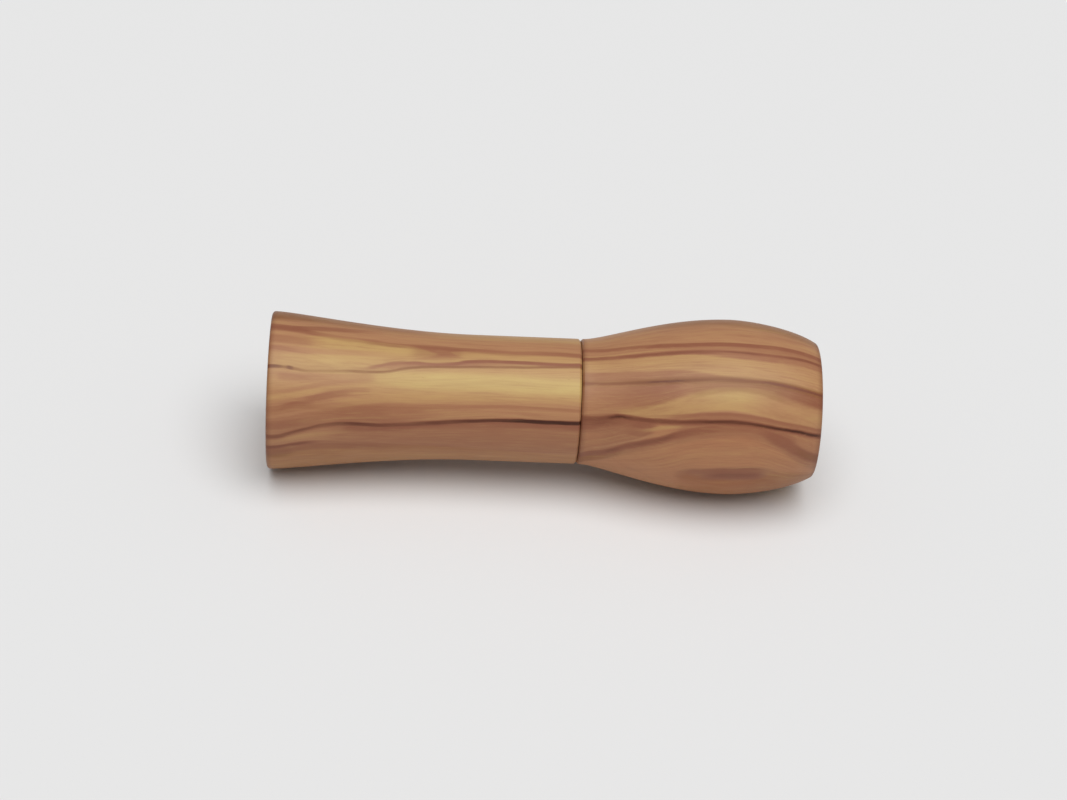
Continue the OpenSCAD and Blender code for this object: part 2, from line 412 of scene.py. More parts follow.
# %% Lay a table under the bulb and the bell rim
def table_slope():
    """Slope of the plane that touches the insert and the barrel from below."""
    rim = min(insert_shell.data.vertices, key=lambda v: (v.co.z, v.co.x)).co
    slope = min((v.co.z - rim.z) / (v.co.x - rim.x) for v in barrel_shell.data.vertices)
    return rim, slope


rim_low, slope = table_slope()
TABLE_SIZE = 6.0
bpy.ops.mesh.primitive_plane_add(size=TABLE_SIZE, location=rim_low)
table = bpy.context.object
table.name = "table"
table.rotation_euler = (0, -math.atan(slope), 0)
print("table falls", round(math.degrees(math.atan(slope)), 3), "degrees along +X from", tuple(rim_low))

# %% [markdown]
# Writing shaders as sums.
#
# A finish is a graph of nodes. Wiring it by hand hides the idea, so a Wire holds one output socket, and
# arithmetic on it adds the Math nodes: 1 - mask reads as it does on paper. Everything that isn't plain
# arithmetic comes from Finish.node, which takes a node's type, then its settings, then what goes into its
# sockets.

# %% Wires and finishes
class Wire:
    """One output socket. Arithmetic with numbers or other wires adds Math nodes."""

    def __init__(self, finish, socket):
        self.finish = finish
        self.socket = socket

    def math(self, operation, first, second=0.0):
        return self.finish.node("ShaderNodeMath", {"operation": operation}, {0: first, 1: second})

    def __add__(self, other):
        return self.math("ADD", self, other)

    def __radd__(self, other):
        return self.math("ADD", other, self)

    def __sub__(self, other):
        return self.math("SUBTRACT", self, other)

    def __rsub__(self, other):
        return self.math("SUBTRACT", other, self)

    def __mul__(self, other):
        return self.math("MULTIPLY", self, other)

    def __rmul__(self, other):
        return self.math("MULTIPLY", other, self)

    def __truediv__(self, other):
        return self.math("DIVIDE", self, other)

    def __pow__(self, other):
        return self.math("POWER", self, other)

    def __abs__(self):
        return self.math("ABSOLUTE", self)


class Finish:
    """A material in the making, round one Principled shader."""

    def __init__(self, name):
        self.material = bpy.data.materials.new(name)
        self.material.use_nodes = True
        self.tree = self.material.node_tree
        self.shader = self.tree.nodes["Principled BSDF"]

    def feed(self, socket, value):
        if isinstance(value, Wire):
            self.tree.links.new(value.socket, socket)
        elif isinstance(value, tuple) and len(value) == 3 and socket.type == "RGBA":
            socket.default_value = (*value, 1)
        else:
            socket.default_value = value

    def node(self, kind, settings=None, sockets=None, out=0):
        made = self.tree.nodes.new(kind)
        for key, value in (settings or {}).items():
            if key == "curve":
                set_curve(made.mapping, value)
            else:
                setattr(made, key, value)
        for key, value in (sockets or {}).items():
            self.feed(made.inputs[key], value)
        return Wire(self, made.outputs[out])

    def ease(self, value, start, stop):
        """0 before start, 1 after stop, and a smooth step between."""
        return self.node("ShaderNodeMapRange", {"interpolation_type": "SMOOTHSTEP"},
                         {"Value": value, "From Min": start, "From Max": stop})

    def share(self, value, start, stop):
        """0 before start, 1 after stop, and a straight ramp between."""
        return self.node("ShaderNodeMapRange", {}, {"Value": value, "From Min": start, "From Max": stop})

    def mix(self, amount, under, over):
        """Lay one colour over another."""
        return self.node("ShaderNodeMix", {"data_type": "RGBA"}, {0: amount, 6: under, 7: over}, 2)

    def noise(self, place, scale, detail=2.0, roughness=0.5):
        """Cloudy noise round 0, from about -0.5 to 0.5."""
        sockets = {"Vector": place, "Scale": scale, "Detail": detail, "Roughness": roughness}
        return self.node("ShaderNodeTexNoise", {}, sockets) - 0.5

    def place(self, x, y, z):
        return self.node("ShaderNodeCombineXYZ", {}, {0: x, 1: y, 2: z})

    def along(self, u, stations, low, high):
        """A smooth curve through stations, read at u. Values lie between low and high."""
        points = [(at, (value - low) / (high - low)) for at, value in stations]
        return self.node("ShaderNodeFloatCurve", {"curve": points}, {"Value": u}) * (high - low) + low

    def shade(self, **sockets):
        for key, value in sockets.items():
            self.feed(self.shader.inputs[key.replace("_", " ")], value)
        print(self.material.name, "nodes", len(self.tree.nodes))
        return self.material


def set_curve(mapping, points):
    curve = mapping.curves[0]
    curve.points[0].location = points[0]
    curve.points[-1].location = points[-1]
    for point in points[1:-1]:
        curve.points.new(*point)
    mapping.update()


def paint(red, green, blue):
    """A colour from a paint chart's 0 to 255, made linear by the sRGB rule as a shader wants it."""
    return tuple((c / 255 / 12.92) if c < 10.3 else ((c / 255 + 0.055) / 1.055) ** 2.4
                 for c in (red, green, blue))


# %% [markdown]
# Olive wood.
#
# Olive is a hard, close wood. Its ground runs from straw yellow to pinkish tan, with smoky brown lines
# that follow the growth layers, and it is turned, sanded fine and oiled. The call was turned from one
# blank, so the layers run along it. They show as long streaks on its flanks, as an oval where the bulb
# just grazes a layer, and as arcs on end grain.
#
# One texture for the whole would be a lottery. So the figure has two parts. The ground is a solid
# texture: noise in the blank's own space, long along the grain and thin across the layers, which also
# colours the bores and the end grain. On it, the streaks that give this call its face are drawn one by
# one, as a turner would pencil them on the blank: a path of stations along the axis, each with an angle
# round it.

# %% Colours of the wood
STRAW = paint(198, 168, 104)
HONEY = paint(186, 145, 94)
TAN = paint(176, 127, 90)
TERRA = paint(178, 122, 84)
AMBER = paint(160, 100, 57)
ROSE = paint(159, 107, 76)
RUST = paint(143, 88, 63)
MOSS = paint(158, 106, 56)
BARK = paint(132, 84, 44)
UMBER = paint(110, 60, 39)
SMOKE = paint(64, 26, 8)

# %% [markdown]
# The blank and its grain.
#
# A Blank gives the places that the figure needs: how far along the axis and round it a spot is, and how
# deep it lies in the growth layers. It also keeps the pencilled paths, each as a curve node that is made
# once and read often.
#
# The soft streaks between the pencilled lines have to flow with them, or they look printed on. So some of
# the paths are courses of the grain. A spot between two courses keeps its share of the way between them,
# and its noise is read at the angle where its own grain meets the seam. Two courses must never cross, or
# the noise jumps there and a step shows.

# %% The ground of the wood
FIGURE_TURN = 18
LAYER_ANGLE = -31
PITH_DISTANCE = 70
WARP = 7
WIDEST_SKIN = 25
LOWEST_ANGLE = -90
HIGHEST_ANGLE = 110


def whole(stations, first, last):
    """The stations of a path. One that stops short runs on level to the ends of its piece."""
    start = [] if stations[0][0] == first else [(first, stations[0][1])]
    stop = [] if stations[-1][0] == last else [(last, stations[-1][1])]
    return start + stations + stop


class Blank:
    """Places inside the blank, as wires in millimetres and degrees."""

    def __init__(self, finish, first_x, last_x, skin, span):
        spot = finish.node("ShaderNodeTexCoord", out="Object")
        split = finish.node("ShaderNodeSeparateXYZ", {}, {0: spot}).socket.node
        x, y, z = (Wire(finish, split.outputs[i]) for i in range(3))
        self.finish = finish
        self.x = x / MM
        y = y / MM
        z = (z - AXIS_Z) / MM
        turn = math.radians(FIGURE_TURN)
        front = -1 * y * math.cos(turn) + z * math.sin(turn)
        top = y * math.sin(turn) + z * math.cos(turn)
        self.radius = (y * y + z * z) ** 0.5
        self.angle = top.math("ARCTAN2", top, front) * math.degrees(1)
        lean = math.radians(LAYER_ANGLE)
        self.depth = front * math.cos(lean) + top * math.sin(lean)
        self.side = top * math.cos(lean) - front * math.sin(lean)
        self.low, self.high = first_x / MM, last_x / MM
        self.span = span
        self.u = (self.x - self.low) / (self.high - self.low)
        stations = [((x / MM - self.low) / (self.high - self.low), r / MM) for x, r in skin]
        self.skin = finish.along(self.u, stations, 0, WIDEST_SKIN)
        self.paths = {}

    def path(self, stations, low=LOWEST_ANGLE, high=HIGHEST_ANGLE):
        """The angle of a pencilled line at this x, from stations of (x in mm, angle in degrees)."""
        stations = whole(stations, *self.span)
        key = (tuple(stations), low)
        if key not in self.paths:
            points = [((x - self.low) / (self.high - self.low), value) for x, value in stations]
            self.paths[key] = self.finish.along(self.u, points, low, high)
        return self.paths[key]

    def off(self, stations):
        """Millimetres above a pencilled line, round the skin."""
        return (self.angle - self.path(stations)) * self.radius * math.radians(1)

    def amount(self, stations):
        return self.path(stations, 0, 1) if isinstance(stations, list) else stations

    def noise(self, x, y, z, *kind):
        """Noise with a place of its own. Its kind is its detail and its roughness."""
        return self.finish.noise(self.finish.place(x, y, z), 1.0, *kind)

    def fibres(self, long, cross, *kind):
        """Noise that is drawn out along the blank. Long and cross are its steps to a millimetre."""
        return self.noise(self.x * long, self.side * cross, self.depth * cross, *kind)

    def flowing(self, flow, long, cross, shift, *kind):
        """Noise along the courses of the grain. Each one is shifted, so that no two are alike."""
        return self.noise(self.x * long, flow * cross, shift, *kind)


def ground(blank):
    """Two noises that follow the growth layers: broad ones, and fine ones between them."""
    warp = blank.noise(blank.x * 0.02, blank.depth * 0.07, blank.side * 0.07) * WARP
    to_pith = blank.depth + PITH_DISTANCE
    layer = (to_pith * to_pith + blank.side * blank.side) ** 0.5 - PITH_DISTANCE + warp
    broad = blank.noise(blank.x * 0.012, blank.side * 0.05, layer * 0.32, 2)
    fine = blank.noise(blank.x * 0.03, blank.side * 0.2, layer * 1.6, 3)
    return broad, fine


def grain(blank, courses, seam):
    """The angle at which the grain through a spot meets the seam."""
    flow = courses[0][seam][1]
    for below, above in zip(courses, courses[1:]):
        share = blank.finish.share(blank.angle, blank.path(below), blank.path(above))
        flow = flow + share * (above[seam][1] - below[seam][1])
    return flow


def band(blank, top, bottom, soft_top, soft_bottom, wobble):
    """1 between two pencilled lines, fading outwards over the given millimetres."""
    upper = blank.finish.ease(blank.off(top) + wobble, soft_top, 0)
    lower = blank.finish.ease(blank.off(bottom) + wobble, -soft_bottom, 0)
    return upper * lower


def line(blank, path, half, soft_top, soft_bottom, wobble):
    """1 on a pencilled line of the given half width, fading over the given millimetres on each side."""
    f = blank.finish
    off = blank.off(path) + wobble
    return f.ease(off, half + soft_top, half) * f.ease(off, -half - soft_bottom, -half)


def tinted(f, colour, tints):
    """The colour with more and more of a tint laid over it, as each noise goes from start to stop."""
    for value, start, stop, most, tint in tints:
        colour = f.mix(f.share(value, start, stop) * most, colour, tint)
    return colour


# %% [markdown]
# Drawn wood and wild wood.
#
# The side that nobody pencilled, the bores and the ends get the wild wood. Its colour is read from the
# layers, and a dark vein follows one border between them. The drawn side gets the bands and the lines,
# and a wobble from its streaks and fibres roughens their edges. The two fade into each other over a few
# degrees and a little below the skin. What both share comes last: painted shade that darkens each piece
# towards its ends, then fine fibres and pores.

# %% The wood itself
SWELLS = (0.05, 0.6, 5, 0.6)
FIBRES = (0.12, 2.2, 4, 0.6)
HAIRS = (0.5, 9, 2)
STREAKS = (0.05, 0.16, 0.0, 5, 0.6)
THREADS = (0.11, 0.75, 4.0, 3, 0.6)
PATCHES = (0.16, 0.12, 9.0, 3)
WAVES = (0.16, 0.03, 0.0, 2)
DRAWN_FROM = (-82, -70)
DRAWN_TO = (114, 103)
DRAWN_DEEP = (1.6, 0.8)
# Painted shade at the ends of each piece: how far in it reaches, in millimetres, and how dark it gets.
END_SHADE_REACH = 1.6
END_SHADE_DARK = 0.45


def wild_wood(f, blank, broad, fine):
    """The undrawn colour: layers from rose to straw, with a dark vein along one border, and rusty lines."""
    own = blank.fibres(*SWELLS)
    mixed = broad + fine * 0.3
    wild = f.mix(f.ease(broad, -0.3, -0.04), ROSE, TAN)
    wild = tinted(f, wild, [(mixed, -0.08, 0.12, 1, HONEY), (mixed, 0.08, 0.22, 1, STRAW)])
    border = broad + fine * 0.05 + own * 0.02 + 0.06
    wild = f.mix(f.ease(border, -0.004, 0.002) * f.ease(border, 0.07, 0.0) * 0.7, wild, RUST)
    wild = f.mix(f.ease(abs(border), 0.014, 0.0) * 0.8, wild, UMBER)
    second = fine * 0.6 + broad * 0.5 - 0.09
    wild = f.mix(f.ease(second, 0.0, 0.006) * f.ease(second, 0.05, 0.0) * 0.45, wild, RUST)
    return tinted(f, wild, [(own, -0.02, -0.3, 0.5, RUST), (own, 0.02, 0.3, 0.4, STRAW)])


def drawn_wood(f, blank, flow, fibre, bands, lines):
    """The pencilled colour: soft streaks along the grain, then each band, more streaks, and each line."""
    streaks = blank.flowing(flow, *STREAKS)
    threads = blank.flowing(flow, *THREADS)
    patches = blank.flowing(flow, *PATCHES)
    wobble = blank.flowing(flow, *WAVES) * 0.25 + threads * 0.5 + fibre * 0.3
    strength = 1 + patches * 0.8 + threads * 0.5
    face = tinted(f, TAN, [(streaks, 0.0, 0.25, 0.35, HONEY), (streaks, -0.03, -0.3, 0.5, ROSE)])
    for top, bottom, soft_top, soft_bottom, colour, amount in bands:
        mask = band(blank, top, bottom, soft_top, soft_bottom, wobble)
        face = f.mix(mask * blank.amount(amount) * strength, face, colour)
    face = tinted(f, face, [
        (streaks, -0.02, -0.3, 0.35, RUST), (streaks, 0.02, 0.3, 0.3, HONEY),
        (threads, -0.02, -0.3, 0.35, RUST), (threads, 0.02, 0.3, 0.25, STRAW)])
    for path, half, soft_top, soft_bottom, colour, amount in lines:
        mask = line(blank, path, half, soft_top, soft_bottom, wobble)
        face = f.mix(mask * blank.amount(amount) * strength, face, colour)
    return face


def olive_wood(name, first_x, last_x, skin, courses, seam, bands, lines):
    f = Finish(name)
    blank = Blank(f, first_x, last_x, skin, (courses[0][0][0], courses[0][-1][0]))
    broad, fine = ground(blank)
    fibre = blank.fibres(*FIBRES)
    hair = blank.fibres(*HAIRS)
    wild = wild_wood(f, blank, broad, fine)
    face = drawn_wood(f, blank, grain(blank, courses, seam), fibre, bands, lines)

    drawn = f.ease(blank.angle, *DRAWN_FROM) * f.ease(blank.angle, *DRAWN_TO)
    drawn = drawn * f.ease(blank.skin - blank.radius, *DRAWN_DEEP)
    colour = f.mix(drawn, wild, face)
    # Painted shade: the colour darkens towards both ends of the piece, at the bell rim or the barrel's side
    # of the seam, and at the tenon's end or the mouth.
    to_end = (blank.high - blank.low) / 2 - abs(blank.x - (blank.low + blank.high) / 2)
    colour = f.mix(f.ease(to_end, END_SHADE_REACH, 0.0) * END_SHADE_DARK, colour, UMBER)
    for value, stop, most, tint in [(fine, 0.3, 0.18, RUST), (fibre, 0.45, 0.22, RUST),
                                    (fibre, -0.45, 0.18, STRAW)]:
        colour = f.mix(f.ease(value, 0.0, stop) * most, colour, tint)
    pores = f.ease(hair, 0.17, 0.3)
    colour = f.mix(pores * 0.25, colour, UMBER)
    height = fibre * 0.5 - pores * 0.6
    bump = f.node("ShaderNodeBump", {}, {"Height": height, "Strength": 0.35, "Distance": 0.06 * MM})
    dull = 0.46 + fibre * 0.12 + pores * 0.15
    print(name, "bands", len(bands), "lines", len(lines))
    return f.shade(Specular_IOR_Level=0.35, Base_Color=colour, Roughness=dull, Normal=bump)


# %% [markdown]
# Pencilling the insert.
#
# A path is a list of stations, each an x in millimetres and an angle in degrees, from the front upwards.
# It needs a station only where the line bends, and a path that stops short runs on level. A band fills
# the space between two paths, with a softness in millimetres at its top and at its bottom. A line follows
# one path, with a half width and the same two softnesses. Last come the colour and its strength, which is
# a number or stations again.
#
# The insert's face has a broad straw glow under BROWN_VEIN, and a pale lens above it on the flare. Below,
# DARK_VEIN runs from the bell to the seam.

# %% Pencil the insert
UNDERSIDE = [(-60, -90), (7.7, -90)]
TOPSIDE = [(-60, 110), (7.7, 110)]
HIGH_RUST = [(-55, 71), (-50, 74), (-45, 76.5), (-40, 79), (-35, 81), (7.7, 82)]
UPPER_VEIN = [(-60, 66), (-42, 65.5), (-36, 65), (-30, 65.7), (-24, 66.5), (-19, 66), (-15, 65.4),
              (-10, 64.3), (0, 65), (7.7, 64)]
LENS_TOP = [(-60, 56), (-56, 59), (-50, 63.5), (-36, 64.5), (-29, 63.5), (-27, 61.5), (-24.5, 57.5),
            (-22, 53), (7.7, 45)]
LENS_LOW = [(-60, 35), (-52, 33.5), (-42, 35.5), (-36, 41), (-31, 48), (-28, 53.5), (-24.5, 57.5),
            (-21, 62), (7.7, 70)]
TAN_TOP = [(-60, 50), (-24, 56), (-20.5, 61.5), (-17, 63.5), (-12, 62.5), (7.7, 62)]
TAN_LOW = [(-60, 80), (-24, 68), (-20.5, 61.5), (-18.5, 57.5), (-16.5, 55), (-12, 55)]
# The lower edge of a band of painted shade along the top of the insert.
TOP_SHADE_EDGE = [(-60, 84), (-50, 88), (-40, 89), (-28, 90), (7.7, 93)]
NECK_TOP = [(-60, 88), (7.7, 87)]
LENS_END = [(-54, 58)]
BROWN_LOW = [(-50, 50), (-42, 52)]
BROWN_EDGE = [(-40, 38), (-37, 41), (-33, 45.5), (-29, 47.3), (-25, 47), (-22, 47.8), (-20, 49),
              (-18, 51), (-15, 52.6), (-8, 53), (0, 52.5)]
BROWN_RIM = [(-60, 50), (-55, 49), (-50, 48)]
BROWN_VEIN = [(-56, 35), (-52, 33.5), (-48, 34), (-42, 35.5), (-37, 36), (-34, 37.5), (-31, 40.7),
              (-28, 42.8), (-25, 44), (-19, 45.7), (-12, 46.9), (-5, 47.8), (0, 49), (7.7, 50)]
GLOW = [(-48, 40), (-40, 33), (-34, 31), (-20, 32), (-10, 31.5), (7.7, 30.5)]
STRAW_LOW = [(-60, 16), (-54, 19), (-48, 22), (-42, 20), (-37, 19), (-25, 18), (-10, 19), (7.7, 20)]
FAN = [(-60, 11), (-55, 14), (-50, 18.5), (-45, 22), (-40, 24), (-32, 24.5), (7.7, 23)]
FAN_LOW = [(-60, 8), (-55, 10.5), (-52, 11.5), (-49, 13.5), (-46, 16), (-42, 18.5), (7.7, 20)]
FAN_MID = [(-60, 14), (-48, 19), (-44, 20), (-38, 21), (7.7, 22)]
OLIVE = [(-60, 29), (-55, 28), (-50, 28.5), (-44, 30), (7.7, 32)]
DIAGONAL = [(-60, 16), (-56, 17.5), (-50, 21.5), (-45, 24.5), (-40, 27), (7.7, 30)]
LOWER_RUST = [(-54, 69), (-49, 67.5), (-42, 66.5), (7.7, 66)]
PALE_FLARE = [(-60, 13), (-56, 14.5), (-50, 18), (-44, 21), (7.7, 24)]
PALE_LOW = [(-60, 10), (-42, 12), (-30, 13), (7.7, 14)]
PINK = [(-60, 3), (-52, 3.5), (-46, 4), (-42, 5.5), (-38, 7), (-28, 7), (-20, 9), (-8, 10.5), (7.7, 9)]
FLARE_RUST = [(-60, 3.5), (-57, 5.5), (-54, 8), (-50, 8), (-46, 9), (-40, 10)]
PALE_UNDER = [(-60, -2), (-55, 0.5), (-51, 3), (7.7, 6)]
DARK_VEIN = [(-60, -17.5), (-57, -17), (-55, -14.7), (-52, -12), (-49, -9.2), (-46, -7.5), (-43, -7.2),
             (-39, -7.9), (-35, -9), (-30, -8.3), (-25, -6.8), (-20, -5.1), (-15, -3.4), (-10, -2.2),
             (-4, -1.9), (2, -2.4), (7.7, -2.2)]
LEFT_ROSE = [(-60, -9), (-55, -7.5), (-50, -5), (7.7, -3)]
UNDER_VEIN = [(-60, -18), (-48, -12), (-42, -11.5), (-36, -12), (-25, -10), (-15, -8), (-8, -6)]
VEIN_LOW = [(-60, -26), (-46, -22), (-38, -28), (-28, -34), (-10, -36), (7.7, -34)]
PALE_VEIN = [(-60, -21), (-56, -20.5), (-52, -18), (-46, -15), (-40, -14)]
LOW_LEFT = [(-60, -28), (-57, -27), (-54, -25), (-51, -24), (-47, -25), (-40, -28), (-32, -31),
            (7.7, -40)]
LOWEST_LEFT = [(-60, -33), (-56, -32), (-52, -29), (-46, -28.5), (-40, -30), (7.7, -45)]

insert_courses = [UNDERSIDE, LOW_LEFT, DARK_VEIN, PINK, FAN, BROWN_VEIN, UPPER_VEIN, HIGH_RUST, TOPSIDE]
insert_bands = [
    (UPPER_VEIN, BROWN_EDGE, 0.9, 0.5, ROSE,
     [(-36, 0), (-32, 0.4), (-28, 0.9), (-18, 0.9), (-15, 0.4), (-12, 0.2)]),
    (LENS_TOP, LENS_LOW, 0.9, 0.8, HONEY, [(-60, 0.2), (-52, 0.6), (-47, 1), (-20, 1), (7.7, 0)]),
    (LENS_TOP, LENS_LOW, 0.4, 0.6, STRAW,
     [(-60, 0), (-50, 0.05), (-46, 0.25), (-30, 0.25), (-24, 0.2), (7.7, 0)]),
    (TAN_TOP, TAN_LOW, 0.4, 0.5, HONEY,
     [(-24, 0), (-21, 0.8), (-16, 0.7), (-6, 0.6), (1, 0.5), (5, 0.2), (7.7, 0)]),
    (UPPER_VEIN, BROWN_EDGE, 0.3, 0.5, RUST, [(-31, 0), (-27, 0.5), (-20, 0.5), (-17, 0)]),
    (BROWN_EDGE, STRAW_LOW, 3.0, 2.0, HONEY, [(-50, 0.5), (-44, 0.5), (-38, 0.8), (7.7, 0.95)]),
    (BROWN_EDGE, BROWN_VEIN, 0.5, 0.4, ROSE,
     [(-60, 0), (-41, 0.1), (-37, 0.6), (-30, 0.8), (-20, 0.9), (-12, 0.6), (-4, 0.5), (0, 0.9)]),
    (PINK, DARK_VEIN, 1.6, 0.2, ROSE,
     [(-60, 0.7), (-52, 0.75), (-44, 1), (-38, 0.9), (-30, 0.8), (-20, 0.3), (-8, 0.1), (7.7, 0)]),
    (PINK, DARK_VEIN, 0.8, 0.2, RUST,
     [(-60, 0), (-50, 0.1), (-46, 0.2), (-42, 0.4), (-38, 0.4), (-32, 0.1), (-26, 0)]),
    (DARK_VEIN, VEIN_LOW, 0.2, 2.5, ROSE, [(-60, 0.5), (-50, 0.4), (-43, 0.9), (-20, 1), (7.7, 0.9)]),
    (LOWEST_LEFT, UNDERSIDE, 1.0, 1.0, MOSS, [(-60, 0.65), (-40, 0.5), (7.7, 0.3)]),
    (TOPSIDE, NECK_TOP, 3.0, 2.0, STRAW, [(-30, 0), (-20, 0.2), (-12, 0.3)]),
    # Painted shade: the top edge of the insert is darkened, most of all at the bell.
    (TOPSIDE, TOP_SHADE_EDGE, 3.0, 2.5, BARK,
     [(-60, 0.9), (-50, 0.7), (-40, 0.5), (-30, 0.4), (-22, 0.1), (7.7, 0)]),
]
insert_lines = [
    (GLOW, 0.8, 2.2, 2.2, STRAW,
     [(-60, 0.1), (-52, 0.2), (-44, 0.2), (-40, 0.15), (-36, 0.45), (-30, 0.7), (-20, 0.9), (-8, 0.85),
      (7.7, 0.95)]),
    (LENS_END, 0.7, 0.8, 0.8, ROSE, [(-54, 0.7), (-50, 0.2), (-47, 0)]),
    (BROWN_LOW, 0.4, 0.7, 0.7, TAN, [(-60, 0.8), (-50, 0.6), (-40, 0.5), (-34, 0.2), (-28, 0)]),
    (HIGH_RUST, 0.5, 0.7, 0.8, RUST, [(-60, 0.9), (-50, 0.75), (-42, 0.6), (-37, 0.15), (-30, 0)]),
    (UPPER_VEIN, 0.35, 0.5, 0.8, RUST,
     [(-60, 0), (-44, 0.1), (-38, 0.4), (-33, 0.6), (-28, 0.5), (-20, 0.5), (-12, 0.5), (7.7, 0.7)]),
    (BROWN_EDGE, 0.15, 0.5, 0.6, RUST,
     [(-60, 0), (-40, 0.2), (-35, 0.5), (-26, 0.5), (-20, 0.7), (-14, 1), (0, 1)]),
    (BROWN_VEIN, 0.12, 0.35, 0.45, BARK,
     [(-60, 0.8), (-55, 0.6), (-48, 0.4), (-40, 0.7), (-34, 0.7), (-26, 0.7), (7.7, 0.6)]),
    (BROWN_VEIN, 0.2, 0.4, 0.4, UMBER,
     [(-60, 1), (-58.5, 0.8), (-57, 0.3), (-56.3, 0.1), (-55.4, 0.7), (-54.4, 0.1), (-53, 0)]),
    (BROWN_RIM, 0.3, 0.6, 0.6, ROSE, [(-60, 0.9), (-56, 0.7), (-52, 0.2), (-48, 0)]),
    (OLIVE, 0.4, 0.8, 0.8, ROSE,
     [(-60, 0.1), (-58, 0.2), (-55.5, 0.6), (-50, 0.4), (-44, 0.2), (-39, 0.3), (-36, 0)]),
    (DIAGONAL, 0.25, 0.7, 0.6, ROSE, [(-60, 0.3), (-54, 0.5), (-46, 0.4), (-40, 0.2), (-36, 0)]),
    (LOWER_RUST, 0.4, 0.6, 0.9, RUST, [(-60, 0.7), (-54, 0.9), (-46, 0.3), (-38, 0.3), (-34, 0)]),
    (PALE_FLARE, 0.2, 0.7, 0.7, HONEY, [(-60, 0.2), (-54, 0.4), (-46, 0.4), (-40, 0.2), (-34, 0)]),
    (PALE_LOW, 0.2, 0.7, 0.7, HONEY, [(-48, 0), (-42, 0.5), (-28, 0.5), (-20, 0.1), (7.7, 0)]),
    (FAN_LOW, 0.4, 0.6, 0.8, RUST,
     [(-60, 0), (-56, 0.3), (-53, 0.3), (-50, 0.6), (-46, 0.6), (-42, 0.2), (-39, 0)]),
    (FAN_MID, 0.25, 0.5, 0.6, ROSE, [(-50, 0), (-46, 0.6), (-40, 0.6), (-36, 0)]),
    (FAN, 0.3, 0.6, 0.8, HONEY, [(-54, 0.4), (-46, 0.4), (-40, 0.2), (-36, 0)]),
    (FLARE_RUST, 0.35, 0.5, 0.9, RUST,
     [(-60, 0.2), (-57, 0.5), (-55, 0.7), (-51, 0.5), (-46, 0.15), (-41, 0.1), (-36, 0)]),
    (PALE_UNDER, 0.1, 0.5, 0.6, TAN, [(-53, 0.6), (-48, 0.2), (-44, 0)]),
    (PINK, 0.1, 0.4, 0.5, ROSE, [(-60, 0), (-40, 0.1), (-30, 0.2), (-20, 0.3), (-10, 0.7), (7.7, 0.6)]),
    (UNDER_VEIN, 0.3, 0.6, 0.9, RUST,
     [(-60, 0), (-45, 0.1), (-42, 0.8), (-36, 0.9), (-28, 0.6), (-18, 0.5), (-6, 0.7), (7.7, 1)]),
    (PALE_VEIN, 0.2, 0.6, 0.6, HONEY, [(-60, 0), (-57, 0.2), (-52, 0.3), (-44, 0.2), (-38, 0)]),
    (LOWEST_LEFT, 1.0, 0.8, 2.2, BARK, [(-60, 0.7), (-56, 0.6), (-53, 0.1), (-48, 0)]),
    (LOWEST_LEFT, 0.4, 0.8, 1.4, RUST, [(-60, 0.6), (-50, 0.7), (-40, 0.6), (-32, 0.2), (-26, 0)]),
    (LOW_LEFT, 0.3, 0.5, 0.8, RUST, [(-54, 1), (-48, 0.6), (-40, 0.4), (-32, 0.2), (-26, 0)]),
    (LOW_LEFT, 0.15, 0.3, 0.4, UMBER, [(-60, 0.6), (-52, 0.4), (-48, 0)]),
    (LEFT_ROSE, 0.5, 0.8, 0.8, RUST, [(-60, 0.6), (-54, 0.5), (-49, 0.2), (-45, 0)]),
    (DARK_VEIN, 0.3, 0.45, 1.0, RUST,
     [(-60, 0.8), (-50, 0.6), (-45, 0.6), (-41, 1), (-30, 1), (-20, 1), (-5, 1)]),
    (DARK_VEIN, 0.2, 0.3, 0.5, UMBER,
     [(-50, 0.5), (-44, 0.4), (-40, 0.8), (-30, 0.6), (-20, 0.8), (-8, 0.7), (-3, 0.9), (7.7, 1)]),
    (DARK_VEIN, 0.16, 0.35, 0.45, SMOKE,
     [(-50, 0.1), (-40, 0.3), (-36, 0.1), (-30, 0.1), (-16, 0.5), (-8, 0.7), (-3, 1)]),
]
insert_wood = olive_wood("olive_insert", BELL_X, TENON_X, insert_outside_skin, insert_courses, -1,
                         insert_bands, insert_lines)
insert_shell.data.materials.append(insert_wood)

# %% [markdown]
# Pencilling the barrel.
#
# The barrel is cut from the same blank, but the saw and the tenon take some wood between the two, so its
# figure starts anew at the seam. BULB_VEIN runs dark over the middle of the bulb, and an arch below it
# bends down at both ends. Where the belly of the bulb grazes a layer, the layer shows as an oval.

# %% Pencil the barrel
BELLY = [(7.7, -90), (60, -90)]
# The lower edge of a band of painted shade along the top of the barrel.
BULB_TOP_SHADE_EDGE = [(7.7, 95), (30, 92), (40, 89), (50, 86)]
CREST = [(7.7, 110), (60, 110)]
TOP_VEIN = [(7.7, 72), (10, 71), (13, 69), (20, 66.5), (25, 64.5), (30, 63.2), (36, 62.8), (45, 62.8),
            (50, 64), (60, 65)]
HIGH_VEIN = [(7.7, 60.2), (10, 59.7), (15, 58.5), (20, 57.5), (30, 56.7), (40, 55.8), (45, 55.5),
             (50, 56), (55, 57.5), (60, 58)]
UNDER_HIGH = [(7.7, 60), (30, 57), (38, 54), (46, 52.5), (54, 54)]
PALE_BETWEEN = [(7.7, 63), (13, 61.5), (22, 60.5), (32, 59.5), (45, 59), (60, 61)]
BROWN_TOP = [(15, 43), (20, 42), (30, 41), (34, 39), (38, 37), (60, 31)]
MIDDLE_VEIN = [(7.7, 34.5), (15, 34), (20, 34.2), (28, 34.7), (35, 35.6), (45, 35.3), (50, 34.5),
               (55, 32.5), (60, 30)]
PALE_TOP = [(7.7, 58), (20, 56), (30, 54), (40, 52), (50, 52), (60, 53)]
